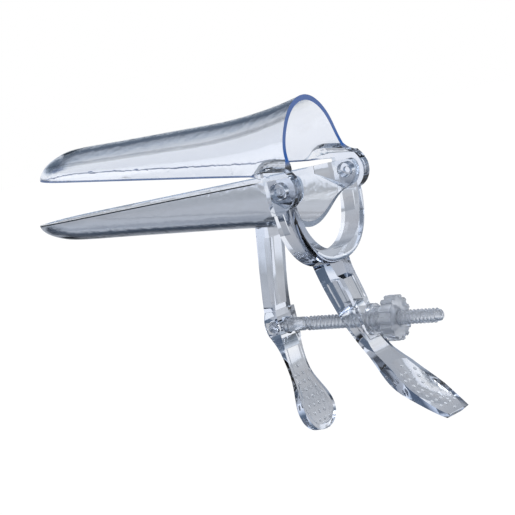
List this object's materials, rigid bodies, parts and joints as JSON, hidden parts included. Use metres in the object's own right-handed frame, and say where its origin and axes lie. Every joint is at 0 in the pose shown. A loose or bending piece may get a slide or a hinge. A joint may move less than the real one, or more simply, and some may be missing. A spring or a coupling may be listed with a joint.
{
  "type": "bivalve speculum",
  "caption": "Hinged two-blade speculum with a U-shaped yoke, two finger grips, and a rocking screw with a thumb nut that sets the opening.",
  "frame": {"origin": "middle of the hinge axis, halfway between the two pivot studs, in the mouth between the blades", "axes": "+X from the blades towards the user, along the way the mouth opens; +Y along the hinge axis; +Z towards the upper blade, square to the lower blade's level edges"},
  "size_m": [0.1415, 0.0484, 0.1084],
  "materials": {
    "clear_plastic": "clear, polished"
  },
  "bodies": {
    "lower": {"lower_blade": "clear_plastic"},
    "upper": {"upper_blade": "clear_plastic"},
    "screw": {"screw": "clear_plastic"},
    "collar": {"thrust_collar": "clear_plastic"},
    "nut": {"thumb_nut": "clear_plastic"}
  },
  "joints": [
    {"name": "blade_hinge", "type": "hinge", "parent": "lower", "child": "upper", "pos_m": [0, 0, 0], "axis": [0, 1, 0], "range_deg": [-7, 25]},
    {"name": "screw_swing", "type": "hinge", "parent": "lower", "child": "screw", "pos_m": [-0.0251, 0, -0.044], "axis": [0, 1, 0], "range_deg": [-1.6, 5.1]},
    {"name": "collar_slide", "type": "slide", "parent": "screw", "child": "collar", "axis": [0.9962, 0, -0.0872], "range_m": [-0.0218, 0.0066]},
    {"name": "nut_spin", "type": "hinge", "parent": "collar", "child": "nut", "pos_m": [0.01674, 0, -0.04766], "axis": [0.9962, 0, -0.0872], "range_deg": [-5800, 1750]}
  ],
  "couplings": [
    {"joint": "screw_swing", "follows": "blade_hinge", "ratio": 0.2},
    {"joint": "collar_slide", "follows": "blade_hinge", "m_per_rad": -0.0495},
    {"joint": "nut_spin", "follows": "blade_hinge", "ratio": -230.38}
  ]
}
